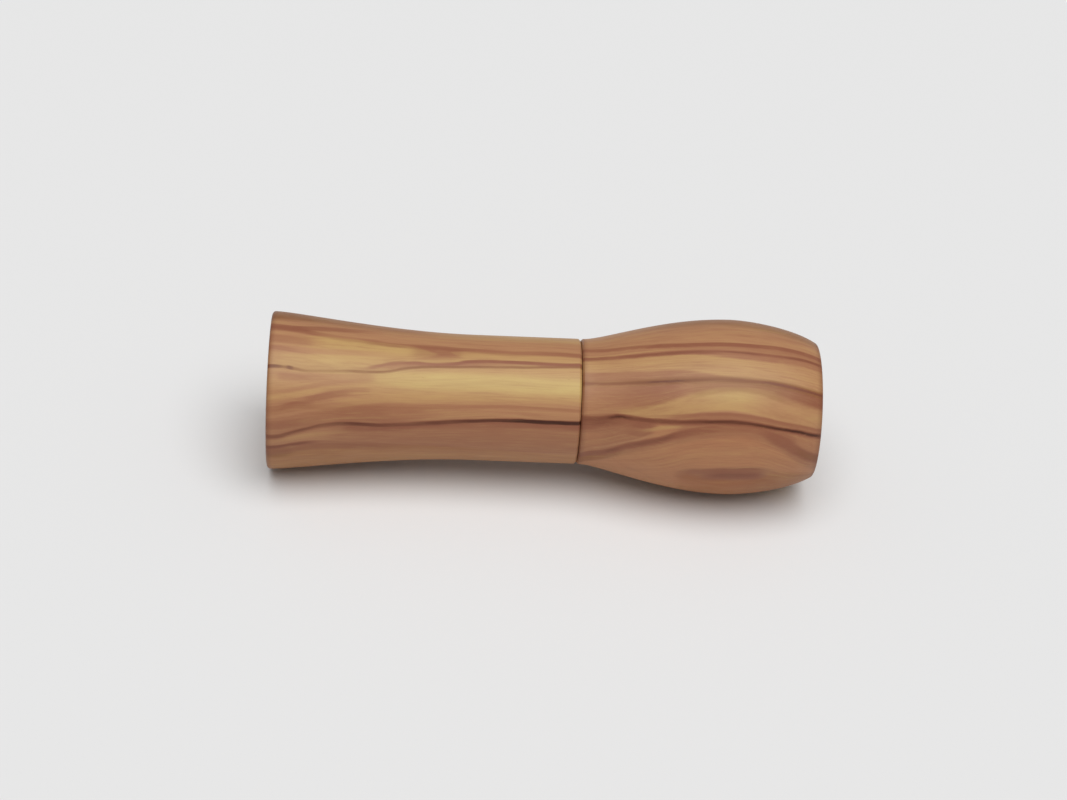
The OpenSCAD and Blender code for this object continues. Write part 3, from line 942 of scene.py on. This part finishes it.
ROSE_END = [(7.7, 30), (44, 33), (50, 29), (55, 24), (60, 20)]
PINK_LOW = [(7.7, 9), (12, 10.5), (17, 12), (20, 14.5), (25, 20), (30, 26), (35, 29), (39, 30.5),
            (45, 30.5), (52, 28), (60, 23)]
GOLD_TOP = [(7.7, 11), (17, 11.5), (22, 14.8), (28, 20.8), (35, 27), (40, 28.5), (45, 28), (50, 24),
            (55, 20), (60, 16)]
GOLD_MID = [(7.7, 12), (28, 19), (34, 22), (40, 24.5), (46, 23.5), (60, 14)]
GOLD_LOW = [(7.7, 6), (15, 8.5), (22, 9), (28, 12), (35, 16), (42, 16.5), (48, 12.5), (54, 8), (60, 4)]
ABOVE_VEIN = [(7.7, 5), (15, 8), (22, 9), (28, 10.5), (35, 13), (41, 13.2), (46, 11.5), (50, 9), (55, 6),
              (60, 1)]
BULB_VEIN = [(7.7, 2.3), (10, 2.8), (12, 3.6), (14, 5.4), (15.5, 6.8), (18, 6.6), (21, 6.1), (25, 6.1),
             (28, 6.5), (31, 7.2), (35, 8), (40, 8.3), (44, 7.7), (47, 6.2), (50, 4.6), (53, 3),
             (55, 1.5), (57, -0.8), (60, -4)]
BULB_VEIN_LEFT = [(7.7, 1), (11, 1.8), (15, 4.5), (18, 6)]
RED = [(7.7, -4), (10, -3), (13, 0), (16, 2.5), (20, 2.5), (23, 3.5), (60, 4)]
RED_LOW = [(7.7, -9), (11, -8), (14, -5.5), (17, -4), (20, -5), (22, -4), (25, 1)]
WEDGE = [(7.7, -14), (14, -11), (18, -8), (21, -3), (23.5, 0), (25, 1.5), (28, 3.5), (32, 5.5), (60, 6)]
STREAK = [(7.7, -32), (10, -28), (13, -23), (15, -19), (17, -15.5), (19, -12.5), (21, -9), (23, -5),
          (60, 0)]
ARCH = [(7.7, -41), (10, -35), (12, -31.5), (14, -27), (16, -22), (18, -17.2), (20, -14.5), (22, -11.5),
        (25, -7.5), (28, -3), (31, 0), (35, 3), (40, 4.6), (45, 4), (48, 0.5), (51, -3.5), (53, -7),
        (55, -13), (57, -19), (60, -26)]
ARCH_LOW = [(7.7, -56), (10, -48), (13, -38), (16, -28), (22, -16), (27, -9), (31, -4), (37, 0), (45, 0),
            (50, -7), (54, -18), (60, -40)]
ARCH_PLUM = [(7.7, 0), (46, 1.5), (50, -0.5), (53, -3.5), (56, -9), (60, -18)]
ARCH_END = [(7.7, 0), (46, 0.5), (49, -2.5), (52, -7.5), (55, -14.5), (57.5, -21), (60, -28)]
OVAL_TOP = [(7.7, -64), (28, -37), (31, -31), (35, -28), (40, -26), (45, -25.5), (48, -27.5), (51, -32),
            (60, -50)]
OVAL_MID = [(7.7, -66), (34, -34), (38, -32.5), (43, -32), (47, -33), (60, -52)]
OVAL_CORE = [(7.7, -50), (33, -36.5), (37, -33.5), (41, -32), (45, -32.5), (49, -35), (60, -50)]
OVAL_LOW = [(7.7, -68), (28, -39), (32, -40), (40, -41), (47, -40), (51, -37), (60, -54)]

barrel_courses = [BELLY, OVAL_TOP, ARCH, BULB_VEIN, GOLD_LOW, PINK_LOW, MIDDLE_VEIN, HIGH_VEIN, TOP_VEIN,
                  CREST]
barrel_bands = [
    (BULB_VEIN, BELLY, 0.5, 1.0, TERRA, 0.8),
    (TOP_VEIN, HIGH_VEIN, 0.9, 0.5, ROSE, [(7.7, 0.7), (14, 0.4), (30, 0.7), (40, 0.8), (60, 1)]),
    (PALE_TOP, MIDDLE_VEIN, 0.6, 1.5, HONEY,
     [(20, 0.6), (30, 0.8), (40, 0.8), (48, 0.6), (54, 0.4), (60, 0.3)]),
    (BROWN_TOP, MIDDLE_VEIN, 0.8, 0.5, ROSE,
     [(7.7, 0.7), (16, 0.8), (28, 0.8), (34, 0.7), (40, 0.3), (60, 0.6)]),
    (MIDDLE_VEIN, PINK_LOW, 0.5, 0.8, ROSE,
     [(13, 0.4), (18, 0.8), (24, 1), (30, 0.6), (36, 0.4), (40, 0.2), (60, 0)]),
    (MIDDLE_VEIN, ROSE_END, 0.5, 1.2, RUST, [(42, 0), (48, 0.3), (54, 0.8), (60, 1)]),
    (GOLD_TOP, GOLD_LOW, 1.4, 0.8, HONEY,
     [(7.7, 0), (14, 0.1), (18, 0.7), (27, 0.8), (35, 0.9), (43, 0.8), (48, 0.4), (60, 0.2)]),
    (ABOVE_VEIN, BULB_VEIN, 0.6, 0.2, ROSE, [(7.7, 1), (15, 0.8), (20, 0.2), (26, 0.4), (32, 1)]),
    (BULB_VEIN, RED_LOW, 0.4, 1.2, ROSE, [(14, 1), (19, 0.9), (22, 0.8), (25, 0)]),
    (RED_LOW, ARCH, 1.0, 0.5, ROSE, [(7.7, 0.9), (11, 0.5), (14, 0.8), (19, 0.8), (23, 0.2), (25, 0)]),
    (BULB_VEIN, ARCH_LOW, 0.4, 1.8, ROSE, [(24, 0), (28, 0.4), (31, 1), (46, 0.9), (52, 0.7), (60, 0.4)]),
    (ARCH, ARCH_LOW, 0.4, 1.4, ROSE, [(13, 1), (20, 0.8), (28, 0.6), (34, 0), (48, 0.2), (60, 0.9)]),
    (OVAL_TOP, OVAL_LOW, 0.8, 2.4, ROSE, [(27.5, 0), (30.5, 0.9), (48, 1), (53, 0.1), (60, 0)]),
    (OVAL_TOP, OVAL_LOW, 0.3, 1.2, RUST, [(28.5, 0), (32, 0.6), (45, 0.8), (50, 0)]),
    (ARCH, ARCH_LOW, 0.2, 0.8, AMBER, [(7.7, 0.9), (10, 0.8), (13, 0.4), (16, 0)]),
    (ARCH, ARCH_LOW, 0.2, 0.8, BARK, [(10, 0.5), (12, 0.3), (16, 0.3), (18, 0)]),
    (MIDDLE_VEIN, GOLD_TOP, 0.3, 0.8, BARK,
     [(29, 0), (33, 0.3), (44, 0.45), (48, 0.5), (52, 0.2), (60, 0)]),
    (MIDDLE_VEIN, PINK_LOW, 0.3, 1.0, RUST,
     [(7.7, 0), (17, 0.1), (21, 0.3), (27, 0.3), (31, 0.1), (60, 0)]),
    # Painted shade: the top edge of the bulb is darkened, more towards the mouth.
    (CREST, BULB_TOP_SHADE_EDGE, 3.0, 2.5, BARK, [(14, 0), (20, 0.2), (27, 0.45), (45, 0.6)]),
    (OVAL_LOW, BELLY, 3.0, 1.0, AMBER, [(7.7, 0), (27, 0.1), (31, 0.6), (38, 0.9), (44, 0.9), (52, 0.7)]),
    (OVAL_LOW, BELLY, 2.0, 1.0, BARK, [(42, 0), (47, 0.2), (53, 0.35), (60, 0.5)]),
]
barrel_lines = [
    (TOP_VEIN, 0.3, 0.5, 0.6, RUST, [(15, 0.7), (24, 0.9), (36, 1), (60, 0.9)]),
    (HIGH_VEIN, 0.25, 0.4, 0.8, RUST, [(7.7, 0.9), (12, 0.8), (19, 1), (30, 1), (45, 1)]),
    (HIGH_VEIN, 0.1, 0.3, 0.5, UMBER,
     [(7.7, 0.1), (20, 0.2), (26, 0.3), (35, 0.3), (43, 0.4), (48, 0.1), (54, 0.4), (60, 0.3)]),
    (UNDER_HIGH, 0.4, 0.6, 0.8, ROSE, [(7.7, 0), (32, 0.1), (40, 0.8), (50, 0.9), (60, 0.8)]),
    (PALE_BETWEEN, 0.05, 0.25, 0.3, HONEY, [(7.7, 0.2), (13, 0.5), (24, 0.4), (34, 0.1)]),
    (MIDDLE_VEIN, 0.2, 1.0, 0.9, BARK,
     [(7.7, 0.5), (14, 0.3), (20, 0.6), (26, 0.8), (34, 0.7), (44, 0.7), (52, 1), (60, 0.5)]),
    (MIDDLE_VEIN, 0.12, 0.35, 0.45, BARK,
     [(14, 0.4), (20, 0.9), (25, 1), (30, 0.9), (36, 0.6), (44, 0.7), (60, 0.2)]),
    (MIDDLE_VEIN, 0.12, 0.4, 0.5, RUST,
     [(7.7, 0.4), (14, 0.3), (24, 0.2), (34, 0.2), (44, 0.3), (52, 0.9), (60, 1)]),
    (MIDDLE_VEIN, 0.12, 0.25, 0.35, UMBER,
     [(7.7, 0.1), (19, 0.2), (22, 0.6), (24, 0.9), (28, 0.8), (31, 0.2), (44, 0.1), (48, 0.5),
      (60, 0.7)]),
    (GOLD_MID, 0.5, 1.3, 1.4, STRAW, [(30, 0), (36, 0.25), (40, 0.4), (44, 0.25), (50, 0)]),
    (ABOVE_VEIN, 0.1, 0.3, 0.6, RUST, [(7.7, 0.2), (24, 0.1), (33, 0.5), (44, 0.5)]),
    (RED, 0.5, 0.8, 0.9, RUST, [(12, 1), (16, 0.7), (22, 0.9), (25, 0)]),
    (RED_LOW, 0.4, 0.9, 0.6, RUST, [(7.7, 0), (16, 0.1), (20, 0.5), (22, 0.5), (24, 0)]),
    (WEDGE, 0.15, 0.5, 0.6, HONEY, [(19, 0), (22, 0.3), (24, 0.6), (27, 0.7), (29, 0.4), (31, 0)]),
    (STREAK, 0.15, 0.4, 0.4, TAN, [(7.7, 0), (10, 0.2), (13, 0.6), (19, 0.7), (23, 0.4), (26, 0)]),
    (ARCH, 0.5, 0.6, 0.9, RUST,
     [(13, 1), (22, 1), (29, 0.9), (35, 0.8), (42, 0.5), (47, 0.6), (51, 0.8), (54, 0.4), (60, 0.3)]),
    (ARCH, 0.15, 0.5, 0.6, UMBER,
     [(7.7, 0), (13, 0.1), (15, 0.4), (17, 0.2), (22, 0.4), (26, 0.4), (29, 0.1), (60, 0)]),
    (ARCH_PLUM, 0.4, 0.7, 0.9, RUST, [(46, 0), (49, 0.4), (52, 0.6), (54.5, 0.2), (56, 0)]),
    (ARCH_END, 0.7, 1.2, 1.3, RUST, [(45, 0), (48, 0.5), (52, 0.9), (60, 1)]),
    (ARCH_END, 0.3, 1.1, 1.1, BARK, [(52, 0), (56, 0.4), (60, 0.6)]),
    (BULB_VEIN, 0.35, 0.4, 0.9, RUST, [(14, 1), (20, 0.9), (30, 1)]),
    (BULB_VEIN_LEFT, 0.7, 0.6, 0.9, UMBER, [(7.7, 0.3), (11, 0.4), (15, 0.3), (18, 0)]),
    (BULB_VEIN, 0.2, 0.35, 0.5, UMBER,
     [(7.7, 0.2), (13, 0.3), (15.5, 0.9), (20, 0.6), (30, 0.7), (36, 0.9), (52, 1)]),
    (BULB_VEIN, 0.08, 0.2, 0.3, SMOKE,
     [(7.7, 0), (13, 0.1), (16, 0.6), (20, 0.1), (32, 0.2), (36, 0.5), (44, 0.5), (52, 0.9)]),
    (OVAL_MID, 0.3, 0.8, 0.8, RUST, [(34, 0), (38, 0.7), (46, 0.7), (50, 0)]),
    (OVAL_CORE, 0.8, 1.0, 1.4, RUST, [(32, 0), (35, 0.5), (39, 0.9), (45, 0.9), (49.5, 0)]),
    (OVAL_CORE, 0.2, 0.8, 0.8, UMBER, [(35, 0), (39, 0.35), (45, 0.3), (48, 0)]),
]
barrel_wood = olive_wood("olive_barrel", SEAM_X, MOUTH_X, barrel_outside_skin, barrel_courses, 0,
                         barrel_bands, barrel_lines)
barrel_shell.data.materials.append(barrel_wood)

# %% [markdown]
# Black machined plastic.
#
# Acetal is a dense satin black. The lathe leaves fine rings along the board's axis, and the mill leaves
# long arcs on the flat. Both are only a few microns deep, so they belong in the bump and in the sheen,
# with a few fine scratches and a little pale dust of wear.

# %% The tone board's finish
def machined_black():
    f = Finish("machined_black")
    spot = f.node("ShaderNodeTexCoord", out="Object")
    tool = f.node("ShaderNodeTexWave", {"wave_type": "BANDS", "bands_direction": "X"},
                  {"Vector": spot, "Scale": 700.0, "Distortion": 1.2, "Detail": 2.0, "Detail Scale": 3.0})
    cloud = f.noise(spot, 260.0, 4)
    stretched = f.node("ShaderNodeMapping", {}, {"Vector": spot, "Scale": (60.0, 2400.0, 2400.0)})
    scratch = f.ease(f.noise(stretched, 1.0, 3, 0.7), 0.16, 0.24)
    colour = f.mix(f.ease(cloud, -0.2, 0.35), paint(30, 30, 32), paint(46, 46, 48))
    colour = f.mix(scratch * 0.35, colour, paint(92, 92, 92))
    height = tool * 0.5 - scratch * 0.4 + cloud * 0.3
    bump = f.node("ShaderNodeBump", {}, {"Height": height, "Strength": 0.35, "Distance": 0.03 * MM})
    return f.shade(Specular_IOR_Level=0.45, Base_Color=colour, Normal=bump,
                   Roughness=0.34 + cloud * 0.2 + scratch * 0.2)


board.data.materials.clear()
board.data.materials.append(machined_black())

# %% [markdown]
# Reed film.
#
# Polyester film is clear with a milky cast, and its polished face shows faint handling marks. A little
# transmission lets the channel show through, and the roughness varies where fingers have been.

# %% The reeds' finish
def reed_film():
    f = Finish("reed_film_clear")
    spot = f.node("ShaderNodeTexCoord", out="Object")
    haze = f.noise(spot, 180.0, 4, 0.6)
    stretched = f.node("ShaderNodeMapping", {}, {"Vector": spot, "Scale": (90.0, 3000.0, 3000.0)})
    drawn = f.noise(stretched, 1.0, 3, 0.6)
    colour = f.mix(f.ease(haze, -0.3, 0.3), paint(226, 224, 212), paint(238, 238, 232))
    colour = f.mix(f.ease(drawn, 0.0, 0.4) * 0.3, colour, paint(206, 204, 192))
    bump = f.node("ShaderNodeBump", {}, {"Height": drawn, "Strength": 0.15, "Distance": 0.01 * MM})
    return f.shade(Transmission_Weight=0.55, IOR=1.55, Base_Color=colour, Normal=bump,
                   Roughness=0.16 + haze * 0.12 + drawn * 0.06)


film = reed_film()
for node in film_nodes:
    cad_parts[node].material_slots[0].material = film

# %% [markdown]
# Cork.
#
# Cork is a mosaic of pale grains, each a slightly different tan, with dark brown walls in its pores.
# Voronoi cells give the mosaic, and a finer noise the crumb.

# %% The wedge's finish
CORK_GRAINS = 1300.0
CORK_SWAY = 0.6 * MM


def cut_cork():
    f = Finish("cut_cork")
    spot = f.node("ShaderNodeTexCoord", out="Object")
    sway = f.node("ShaderNodeTexNoise", {}, {"Vector": spot, "Scale": 900.0}, "Color")
    sway = f.node("ShaderNodeVectorMath", {"operation": "SCALE"}, {0: sway, "Scale": CORK_SWAY})
    bent = f.node("ShaderNodeVectorMath", {"operation": "ADD"}, {0: spot, 1: sway})
    mosaic = {"Vector": bent, "Scale": CORK_GRAINS}
    tone = f.node("ShaderNodeSeparateColor", {}, {0: f.node("ShaderNodeTexVoronoi", {}, mosaic, "Color")})
    wall = f.node("ShaderNodeTexVoronoi", {"feature": "DISTANCE_TO_EDGE"}, mosaic)
    crumb = f.noise(spot, 5000.0, 4, 0.65)
    blot = f.noise(spot, 700.0, 3)
    colour = f.mix(tone, paint(196, 152, 104), paint(172, 124, 80))
    colour = f.mix(f.ease(wall, 0.09, 0.0) * 0.45, colour, paint(122, 80, 50))
    colour = f.mix(f.ease(blot, 0.12, 0.2) * 0.85, colour, paint(88, 56, 36))
    colour = f.mix(f.ease(crumb, 0.0, 0.4) * 0.3, colour, paint(216, 180, 134))
    height = crumb + f.ease(wall, 0.0, 0.1) * 0.5
    bump = f.node("ShaderNodeBump", {}, {"Height": height, "Strength": 0.5, "Distance": 0.06 * MM})
    return f.shade(Specular_IOR_Level=0.2, Base_Color=colour, Roughness=0.86 + crumb * 0.15, Normal=bump)


wedge.data.materials.clear()
wedge.data.materials.append(cut_cork())

# %% [markdown]
# Ring rubber.
#
# Nitrile rubber is nearly black. It is greased so that the joint turns freely, and the grease gathers
# dust and turns to a patchy sheen.

# %% The O-rings' finish
def greased_rubber():
    f = Finish("greased_rubber")
    spot = f.node("ShaderNodeTexCoord", out="Object")
    patch = f.noise(spot, 420.0, 3)
    dust = f.noise(spot, 4200.0, 4, 0.7)
    colour = f.mix(f.ease(patch, -0.2, 0.3), paint(24, 24, 25), paint(40, 40, 41))
    colour = f.mix(f.ease(dust, 0.12, 0.3) * 0.5, colour, paint(96, 94, 90))
    bump = f.node("ShaderNodeBump", {}, {"Height": dust, "Strength": 0.3, "Distance": 0.03 * MM})
    dull = 0.5 - f.ease(patch, 0.0, 0.25) * 0.25 + dust * 0.1
    return f.shade(Base_Color=colour, Roughness=dull, Normal=bump)


rubber = greased_rubber()
for ring in rings:
    ring.data.materials.append(rubber)

# %% [markdown]
# The table's finish.
#
# The table is plain and matt, nearly white. It stays a little under white, so that the soft shadow, and
# the light that the wood throws back on it, still show.

# %% The table's finish
pale = Finish("pale_table")
table.data.materials.append(pale.shade(Base_Color=paint(231, 231, 231), Roughness=0.9))

# %% [markdown]
# The camera.
#
# The distance, the yaw, the roll and the focal length are fitted to the outline of the call. A turned
# piece has the same outline from every height, so the fit was made at one height, and the camera was then
# swung round the axis to a likelier one. The figure of the wood is turned by the same angle.

# %% Camera
FRAME_W = 1067
SENSOR_W = 36
VIEW_DISTANCE = 615.7 * MM
VIEW_YAW = -2.87
VIEW_ROLL = 3.06
FITTED_LIFT = 18
FOCAL_PX = 2791
MIDDLE_PX = 543
CAMERA_LIFT = 36

lift, yaw, roll = (math.radians(a) for a in (FITTED_LIFT, VIEW_YAW, VIEW_ROLL))
backwards = Vector((math.sin(yaw) * math.cos(lift), -math.cos(yaw) * math.cos(lift), math.sin(lift)))
level = Vector((math.cos(yaw), math.sin(yaw), 0))
upwards = backwards.cross(level)
across = level * math.cos(roll) + upwards * math.sin(roll)
upwards = upwards * math.cos(roll) - level * math.sin(roll)
raised = Matrix.Rotation(math.radians(FITTED_LIFT - CAMERA_LIFT), 3, "X")
backwards, across, upwards = (raised @ v for v in (backwards, across, upwards))

lens = bpy.data.cameras.new("camera")
camera = bpy.data.objects.new("camera", lens)
bpy.context.scene.collection.objects.link(camera)
lens.sensor_fit = "HORIZONTAL"
lens.sensor_width = SENSOR_W
lens.lens = lens.sensor_width * FOCAL_PX / FRAME_W
lens.shift_x = (FRAME_W / 2 - MIDDLE_PX) / FRAME_W
place = Vector((0, 0, AXIS_Z)) + backwards * VIEW_DISTANCE
camera.matrix_world = Matrix.Translation(place) @ Matrix((across, upwards, backwards)).transposed().to_4x4()
bpy.context.scene.camera = camera
print("camera at", tuple(round(v, 4) for v in place))

# %% [markdown]
# The light.
#
# One broad lamp stands high, in front and a little to the right, and weak even light comes from all
# round. A far lamp gives a level table less light the lower it stands, by the sine of its height, so its
# strength is divided by that. The shares of the lamp and the sky add up to one, and a colour then renders
# about as it is written.

# %% Light
SKY = 0.25
LAMP_HEIGHT = 72
LAMP_SIDE = 20
LAMP_SPREAD = 60

world = bpy.data.worlds.new("studio")
bpy.context.scene.world = world
world.use_nodes = True
sky = world.node_tree.nodes["Background"]
sky.inputs["Color"].default_value = (1, 1, 1, 1)
sky.inputs["Strength"].default_value = SKY


def soft_lamp(name, share, height, side, spread):
    """A broad far lamp. Its share is the part of the table's light that it gives."""
    data = bpy.data.lights.new(name, "SUN")
    data.angle = math.radians(spread)
    h, a = math.radians(height), math.radians(side)
    data.energy = share * math.pi / math.sin(h)
    lamp = bpy.data.objects.new(name, data)
    bpy.context.scene.collection.objects.link(lamp)
    towards = Vector((math.sin(a) * math.cos(h), -math.cos(a) * math.cos(h), math.sin(h)))
    lamp.rotation_euler = towards.to_track_quat("Z", "Y").to_euler()
    print(name, "strength", round(data.energy, 3))


soft_lamp("top_lamp", 1 - SKY, LAMP_HEIGHT, LAMP_SIDE, LAMP_SPREAD)
bpy.context.scene.view_settings.view_transform = "Standard"
